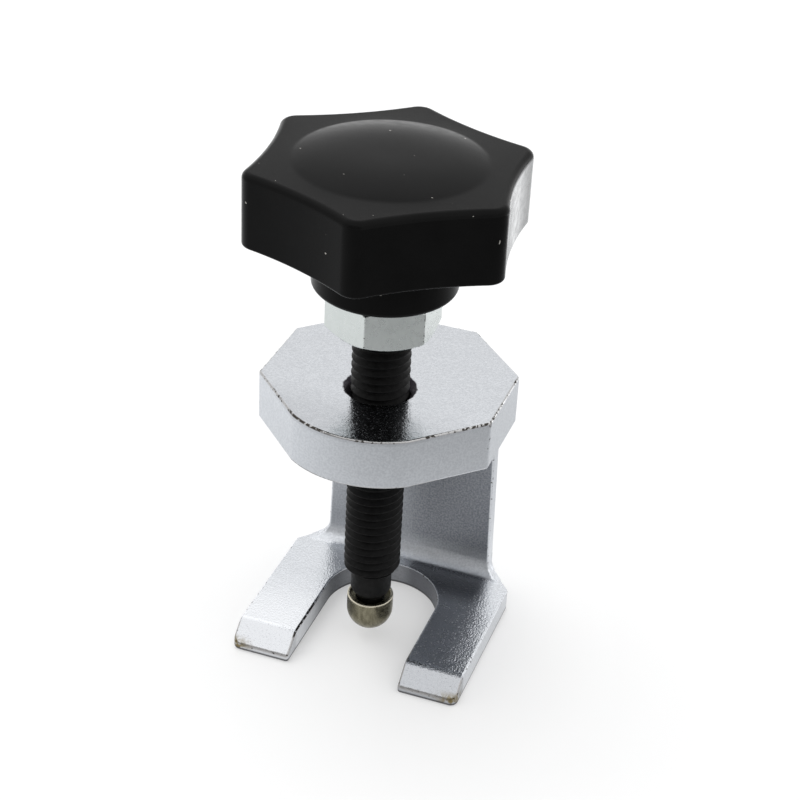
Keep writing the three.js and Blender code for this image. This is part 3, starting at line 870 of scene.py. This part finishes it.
def satin_chrome():
    """Pebbled chrome with grease and a painted dark reflection at the bore, chipped edges and
    rusty corners at the tips. Its painted shade, highlights and reflections follow what the
    object reflects in one view: they are toned by place."""
    look = Finish("satin_chrome", Metallic=1.0)
    blend = 0.15
    edge = look.wear()
    facing = node(look.tree, "SeparateXYZ", {"Vector": look.object["Normal"]}).outputs["Z"]
    level = look.range(look.math("ABSOLUTE", facing), 0.5, 0.9)
    # The slot's walls, painted dark: partly their own duller tone, partly painted shade from the
    # shadowed floor they face.
    slot = look.product(
        look.range(look.math("ABSOLUTE", look.x),
                   SLOT_RADIUS + 3 * blend, SLOT_RADIUS + blend),
        look.range(look.y, SLOT_CENTRE_Y + SLOT_RADIUS + 3 * blend,
                   SLOT_CENTRE_Y + SLOT_RADIUS + blend),
        look.range(look.z, FORK_THICK, FORK_THICK - 2 * blend),
    )
    # The web's face between its fillets: rougher, and painted darker as a painted dark
    # reflection.
    web_face_dull_and_shaded = look.product(
        look.range(look.y, WEB_FRONT_Y - INNER_FILLET, WEB_FRONT_Y - 0.7 * INNER_FILLET),
        look.range(look.y, WEB_FRONT_Y + 2 * blend, WEB_FRONT_Y + blend),
        look.range(look.z, FORK_THICK - blend, FORK_THICK + 2 * blend),
        look.range(look.z, HEAD_BOTTOM, HEAD_BOTTOM - 2 * blend),
        look.math("SUBTRACT", 1, edge),
    )
    above_foot = look.range(
        look.z, FORK_THICK + 0.3 * INNER_FILLET, FORK_THICK + 2 * INNER_FILLET,
    )
    # A ragged dark ring in the countersink at the top of the bore: grease, and a painted dark
    # reflection of the bore mouth.
    ragged = look.math(
        "ADD", BORE_MOUTH_TOP_R - 0.2, look.math("MULTIPLY", look.noise(1.2), 0.8),
    )
    grease_and_dark_reflection = look.product(
        look.range(look.math("SUBTRACT", look.away(0, 0, look.z), ragged), 0, -0.3),
        look.range(look.z, HEAD_TOP - 2, HEAD_TOP - 1.5),
    )
    corner = look.math(
        "MINIMUM",
        look.away(FORK_HALF_WIDTH, TIP_Y, 0),
        look.away(-FORK_HALF_WIDTH, TIP_Y, 0),
    )
    at_fork = look.range(look.z, 2 * FORK_THICK, 1.2 * FORK_THICK)
    tarnish = look.product(
        look.range(corner, 5, 1), look.range(look.noise(0.9, 4), 0.36, 0.58),
        look.range(look.z, TIP_EDGE + 1.2, TIP_EDGE + 0.2),
    )
    # A thin dark band along the bottom of the frame: a painted contact shadow.
    painted_contact_shadow = look.product(look.range(look.z, 0.75, 0.4), 0.9)
    at_head = look.range(look.z, HEAD_TOP - 1, HEAD_TOP - 0.6)
    patches = look.product(look.range(look.noise(5, 1), 0.45, 0.6), at_head)
    chips = look.math("SUBTRACT", look.noise(0.6, 3), look.range(patches, 0, 1, 0.64, 0.5))
    worn = look.product(edge, look.range(chips, -0.02, 0.03))
    # The sloped tips painted darker, more on the right prong: painted shade.
    painted_slope_shade = look.product(
        look.range(look.y, TIP_SLOPE_Y + 0.5, TIP_SLOPE_Y - 0.2),
        look.range(look.x, 0, 6, 0.35, 0.75),
        at_fork,
    )
    # The head's front painted darker towards the nose: painted shade.
    painted_front_shade = look.product(look.range(look.y, -3, -13, 0, 0.3), at_head)
    # The front of the fork painted lighter towards the left prong: a painted highlight.
    painted_highlight = look.product(look.range(look.y, 9, -8), look.range(look.x, 4, -4), at_fork)
    # A broken dark line along the top edge of the slot's left wall: painted shade.
    shaded_slot_edge = look.product(
        edge, look.range(look.math("ADD", look.x, SLOT_RADIUS), -1, -0.3),
        look.range(look.x, 0, -5), look.range(look.y, 3, -1),
        look.range(look.z, FORK_THICK - 1, FORK_THICK - 0.6),
        look.range(look.noise(0.8, 3), 0.40, 0.48),
    )
    # A dark patch on the right prong in front of the web's foot: painted shade.
    painted_web_foot_shade = look.product(
        look.range(look.y, 8, 14),
        look.range(look.y,
                   WEB_FRONT_Y - 0.5 * INNER_FILLET, WEB_FRONT_Y - 0.7 * INNER_FILLET),
        look.range(look.x, 0, 3), look.range(look.x, 18.5, 15),
        at_fork,
    )
    at_tip = look.range(look.y, TIP_SLOPE_Y, TIP_SLOPE_Y - 1)
    # The head's and tips' edges tinted brownish: worn edges, and painted shade that dims their
    # highlights.
    worn_tint_and_shade = look.product(edge, look.math("MAXIMUM", at_head, at_tip), 0.55)

    mottle = look.range(look.noise(0.35, 3), 0.35, 0.65)
    # The mottled colour darkened: the painted shade used on the web's face.
    web_shade_colour = look.mix(mottle, rgb(0.24, 0.255, 0.285), rgb(0.36, 0.375, 0.405))
    colour = look.mix(mottle, rgb(0.59, 0.61, 0.64), rgb(0.67, 0.69, 0.72))
    # Painted dark on the slot walls, less towards the back: their own tone and painted shade.
    slot_tone_and_shade = look.product(slot, look.range(look.y, 8, 14, 0.94, 0.68))
    colour = look.mix(slot_tone_and_shade, colour, rgb(0.10, 0.105, 0.115))
    # Painted shade on the web's face, stronger towards the right.
    web_shade_share = look.product(web_face_dull_and_shaded, above_foot, look.range(look.x, -4, 4, 0.5, 1))
    colour = look.mix(web_shade_share, colour, web_shade_colour)
    colour = look.mix(painted_highlight, colour, rgb(0.77, 0.785, 0.81))
    colour = look.mix(look.math("MAXIMUM", painted_slope_shade, painted_front_shade), colour, rgb(0.37, 0.38, 0.40))
    colour = look.mix(look.math("MULTIPLY", painted_web_foot_shade, 0.9), colour, rgb(0.15, 0.155, 0.17))
    colour = look.mix(worn_tint_and_shade, colour, rgb(0.34, 0.32, 0.30))
    # Worn, chipped edges, and the painted shade along the slot's left edge, in near black.
    colour = look.mix(look.math("MAXIMUM", worn, shaded_slot_edge), colour, rgb(0.05, 0.045, 0.04))
    colour = look.mix(grease_and_dark_reflection, colour, rgb(0.04, 0.035, 0.045))
    colour = look.mix(tarnish, colour, rgb(0.18, 0.14, 0.06))
    colour = look.mix(painted_contact_shadow, colour, rgb(0.07, 0.07, 0.075))
    look.drive("Base Color", colour)

    rough = look.range(level, 0, 1, 0.30, 0.12)
    rough = look.math("ADD", rough, look.range(look.noise(1.5, 3), 0.3, 0.7, 0, 0.05))
    rough = look.math("ADD", rough, look.range(look.noise(0.4, 2), 0.56, 0.66, 0, 0.13))
    dull = look.math(
        "MAXIMUM", look.math("MAXIMUM", worn, slot), look.math("MAXIMUM", web_face_dull_and_shaded, grease_and_dark_reflection),
    )
    look.drive("Roughness", look.math("ADD", rough, look.math("MULTIPLY", dull, 0.18)))

    normal = look.bump(look.noise(3.5, 2), 0.05)
    normal = look.bump(look.noise(0.8, 1), 0.014, normal)
    coarser = look.math("ADD", look.math("MULTIPLY", at_fork, 1.3), 1)
    relief = look.product(look.noise(0.32, 2), coarser)
    look.drive("Normal", look.bump(relief, 0.026, normal))
    return look.material


def black_oxide():
    look = Finish("black_oxide", IOR=1.22)
    blotch = look.range(look.noise(1.1, 4), 0.40, 0.65)
    colour = look.mix(blotch, rgb(0.0015, 0.0015, 0.0015), rgb(0.004, 0.004, 0.004))
    look.drive("Base Color", colour)
    look.drive("Roughness", look.range(look.noise(0.5, 3), 0.3, 0.7, 0.38, 0.56))
    look.drive("Normal", look.bump(look.noise(0.25, 2), 0.012))
    return look.material


def zinc_plate():
    look = Finish("zinc_plate", Metallic=1.0)
    cloud = look.noise(1.4, 4, stretch=(1, 1, 0.5))
    colour = look.mix(cloud, rgb(0.60, 0.635, 0.62), rgb(0.70, 0.73, 0.715))
    pits = look.range(look.noise(0.9, 5), 0.72, 0.77)
    worn = look.product(look.wear(), look.range(look.noise(0.7, 3), 0.56, 0.64))
    marks = look.math("MAXIMUM", pits, worn)
    look.drive("Base Color", look.mix(marks, colour, rgb(0.05, 0.045, 0.04)))
    look.drive("Roughness", look.range(look.noise(0.8, 3), 0.3, 0.7, 0.26, 0.36))
    normal = look.bump(look.noise(2.5, 2), 0.03)
    look.drive("Normal", look.bump(look.noise(0.35, 3), 0.008, normal))
    return look.material


def nickel_plate():
    look = Finish("nickel_plate", Metallic=1.0)
    streaks = look.noise(0.6, 4, stretch=(1, 1, 0.25))
    share = look.range(streaks, 0.35, 0.65)
    colour = look.mix(share, rgb(0.135, 0.124, 0.084), rgb(0.225, 0.209, 0.15))
    # The cap's rim painted lighter near its top: a painted highlight.
    painted_rim_highlight = look.range(look.z, CAP_HIGH.z - 0.35, CAP_HIGH.z - 0.2)
    look.drive("Base Color", look.mix(painted_rim_highlight, colour, rgb(0.60, 0.56, 0.45)))
    look.drive("Roughness", look.range(look.noise(0.5, 3), 0.3, 0.7, 0.24, 0.38))
    look.drive("Normal", look.bump(look.noise(0.3, 3), 0.008))
    return look.material


def black_plastic():
    look = Finish("black_plastic", IOR=1.135)
    cloud = look.noise(6, 3)
    colour = look.mix(cloud, rgb(0.003, 0.003, 0.003), rgb(0.005, 0.005, 0.005))
    dust = look.range(look.noise(0.8, 0), 0.875, 0.89)
    look.drive("Base Color", look.mix(dust, colour, rgb(0.30, 0.29, 0.27)))
    look.drive("Roughness", look.range(look.noise(1.5, 4), 0.3, 0.7, 0.18, 0.26))
    normal = look.bump(look.noise(9, 2), 0.02)
    look.drive("Normal", look.bump(look.noise(0.25, 2), 0.0025, normal))
    return look.material


def brass():
    look = Finish("brass", Metallic=1.0)
    colour = look.mix(look.noise(1.5, 3), rgb(0.62, 0.45, 0.17), rgb(0.75, 0.58, 0.27))
    look.drive("Base Color", colour)
    look.drive("Roughness", look.range(look.noise(0.6, 3), 0.3, 0.7, 0.25, 0.4))
    look.drive("Normal", look.bump(look.noise(0.3, 2), 0.006))
    return look.material


def bright_steel(name, low, high, roughness):
    look = Finish(name, Metallic=1.0)
    look.drive("Base Color", look.mix(look.noise(0.8, 3), low, high))
    look.drive("Roughness", look.range(look.noise(0.4, 3), 0.3, 0.7, roughness, roughness + 0.1))
    look.drive("Normal", look.bump(look.noise(0.2, 2), 0.003))
    return look.material


def white_floor():
    """A pale floor that gives off some light of its own, so it stays pale in the slot."""
    look = Finish(
        "white_floor", Roughness=0.6, Emission_Color=rgb(1, 1, 1), Emission_Strength=0.35,
    )
    colour = look.mix(look.noise(60, 3), rgb(0.49, 0.49, 0.49), rgb(0.51, 0.51, 0.51))
    look.drive("Base Color", colour)
    return look.material


def dark_cloth():
    look = Finish("dark_cloth", Roughness=1.0)
    colour = look.mix(look.noise(20, 3), rgb(0.28, 0.28, 0.28), rgb(0.33, 0.33, 0.33))
    look.drive("Base Color", colour)
    return look.material


def graded_card():
    """Light grey beside the object, darker in front and to its right, with a bright patch
    far behind on the right and an even grey next to the object."""
    fall_right, rise_back, middle = 0.0022, 0.0016, 0.77
    darkest, lightest = 0.35, 1.7
    patch, next_to_object = 2.8, 0.9
    look = Finish("graded_card")
    slope = look.math("SUBTRACT", look.math("MULTIPLY", look.y, rise_back),
                      look.math("MULTIPLY", look.x, fall_right))
    grey = look.math("MINIMUM", look.math("ADD", slope, middle), lightest)
    grey = look.math("MAXIMUM", grey, darkest)
    behind = look.product(look.range(look.x, 5, 35), look.range(look.y, 140, 170))
    grey = look.math("ADD", grey, look.math("MULTIPLY", behind, patch))
    near = look.range(look.away(0, 0, 0), CARD_INNER, 2 * CARD_INNER)
    even = look.math("SUBTRACT", next_to_object, look.math("MULTIPLY", near, next_to_object))
    shade = look.math("ADD", look.product(near, grey), even)
    glow = node(look.tree, "Emission", {"Color": rgb(0.98, 0.99, 1), "Strength": shade})
    surface = look.tree.nodes["Material Output"].inputs["Surface"]
    look.tree.links.new(glow.outputs[0], surface)
    return look.material


# ---------------------------------------------------------------- assembly
settle(frame_forging(), "frame", ["frame"], satin_chrome())
settle(threaded_spindle(), "spindle", ["spindle"], black_oxide(), 50)
settle(hex_nut(), "spindle", ["jam_nut"], zinc_plate())
settle(star_knob(), "spindle", ["knob_body"], black_plastic(), 60)
settle(threaded_bush(), "spindle", ["knob_insert"], brass())
settle(swivel_cap(), "tip_cap", ["tip_cap"], nickel_plate())
settle(bearing_ball(), "thrust_ball", ["thrust_ball"],
       bright_steel("ball_steel", rgb(0.62, 0.63, 0.65), rgb(0.70, 0.71, 0.73), 0.08))
settle(retaining_ring(), "tip_cap", ["snap_ring"],
       bright_steel("ring_steel", rgb(0.30, 0.31, 0.32), rgb(0.42, 0.43, 0.44), 0.28))


# ---------------------------------------------------------------- floor, light, camera
def sheet(name, points, faces, material):
    """A flat stage piece, from points in metres."""
    mesh = bpy.data.meshes.new(name)
    mesh.from_pydata(points, [], faces)
    mesh.materials.append(material)
    piece = bpy.data.objects.new(name, mesh)
    scene.collection.objects.link(piece)
    return piece


def lay_floor():
    half = 4
    corners = [(-half, -half, 0), (half, -half, 0), (half, half, 0), (-half, half, 0)]
    sheet("floor", corners, [(0, 1, 2, 3)], white_floor())


def reflect_only(card):
    """Leaves the card in reflections and nowhere else."""
    card.visible_camera = False
    card.visible_diffuse = False
    card.visible_shadow = False


def mirrored_card():
    """A ring on the floor that only the shiny surfaces see."""
    sides = 48
    rings = [circle(radius, CARD_HEIGHT, sides) for radius in (CARD_INNER, CARD_OUTER)]
    points = [(x * MM, AXIS_Y + y * MM, z * MM) for ring in rings for x, y, z in ring]
    faces = [(i, i + sides, (i + 1) % sides + sides, (i + 1) % sides) for i in range(sides)]
    card = sheet("mirrored_card", points, faces, graded_card())
    reflect_only(card)


def dark_card():
    """A grey cloth that stands behind the camera."""
    half, far, low, high = 0.6, -0.75, 0.08, 0.8
    corners = [(-half, far, low), (half, far, low), (half, far, high), (-half, far, high)]
    card = sheet("dark_card", corners, [(0, 1, 2, 3)], dark_cloth())
    reflect_only(card)


def soft_step(tree, value, low, high, top=1.0):
    """Goes softly from 0, where the value is low, to top, where it is high."""
    return node(tree, "MapRange", {
        "Value": value, "From Min": low, "From Max": high, "To Max": top,
    }, interpolation_type="SMOOTHSTEP").outputs["Result"]


def surroundings():
    """A white room, a little brighter overhead and much brighter low down at the back."""
    plain, at_back, overhead = 0.96, 1.0, 0.35
    world = bpy.data.worlds.new("room")
    world.use_nodes = True
    tree = world.node_tree
    background = tree.nodes["Background"]
    place = node(tree, "TexCoord").outputs["Generated"]
    parts = node(tree, "SeparateXYZ", {"Vector": place})
    back = soft_step(tree, parts.outputs["Y"], 0.2, 0.8)
    low = soft_step(tree, parts.outputs["Z"], 0.3, 0.05)
    high = soft_step(tree, parts.outputs["Z"], 0.5, 0.7, overhead)
    extra = node(tree, "Math", {0: back, 1: low}, operation="MULTIPLY").outputs[0]
    extra = node(tree, "Math", {0: extra, 1: high}, operation="ADD").outputs[0]
    bright = node(tree, "MapRange", {"Value": extra, "To Min": plain, "To Max": plain + at_back})
    tree.links.new(bright.outputs["Result"], background.inputs["Strength"])
    background.inputs["Color"].default_value = rgb(1, 1, 1)
    scene.world = world


def softbox(name, place, aim, size, watts):
    data = bpy.data.lights.new(name, "AREA")
    data.shape = "RECTANGLE"
    data.size, data.size_y = size
    data.energy = watts
    light = bpy.data.objects.new(name, data)
    light.location = place
    light.rotation_mode = "QUATERNION"
    light.rotation_quaternion = (Vector(aim) - Vector(place)).to_track_quat("-Z", "Y")
    light.visible_camera = False
    light.visible_glossy = False
    scene.collection.objects.link(light)


CAMERA_AZIMUTH = radians(18.1)
CAMERA_ELEVATION = radians(31.3)
CAMERA_ROLL = radians(3.1)
CAMERA_DISTANCE = 0.3097
CAMERA_AIM = Vector((0.0036, AXIS_Y, 0.0503))
CAMERA_LENS = 83.8


def camera():
    data = bpy.data.cameras.new("camera")
    data.lens = CAMERA_LENS
    data.sensor_width = 36
    data.clip_start = 0.01
    cam = bpy.data.objects.new("camera", data)
    a, e = CAMERA_AZIMUTH, CAMERA_ELEVATION
    back = Vector((sin(a) * cos(e), -cos(a) * cos(e), sin(e)))
    cam.rotation_mode = "QUATERNION"
    level = (-back).to_track_quat("-Z", "Y")
    cam.rotation_quaternion = level @ Matrix.Rotation(CAMERA_ROLL, 3, "Z").to_quaternion()
    cam.location = CAMERA_AIM + CAMERA_DISTANCE * back
    scene.collection.objects.link(cam)
    scene.camera = cam


lay_floor()
mirrored_card()
dark_card()
surroundings()
softbox("overhead", (-0.35, 0.15, 0.9), (0, 0, 0.03), (0.8, 0.8), 3)
camera()
scene.view_settings.view_transform = "Standard"
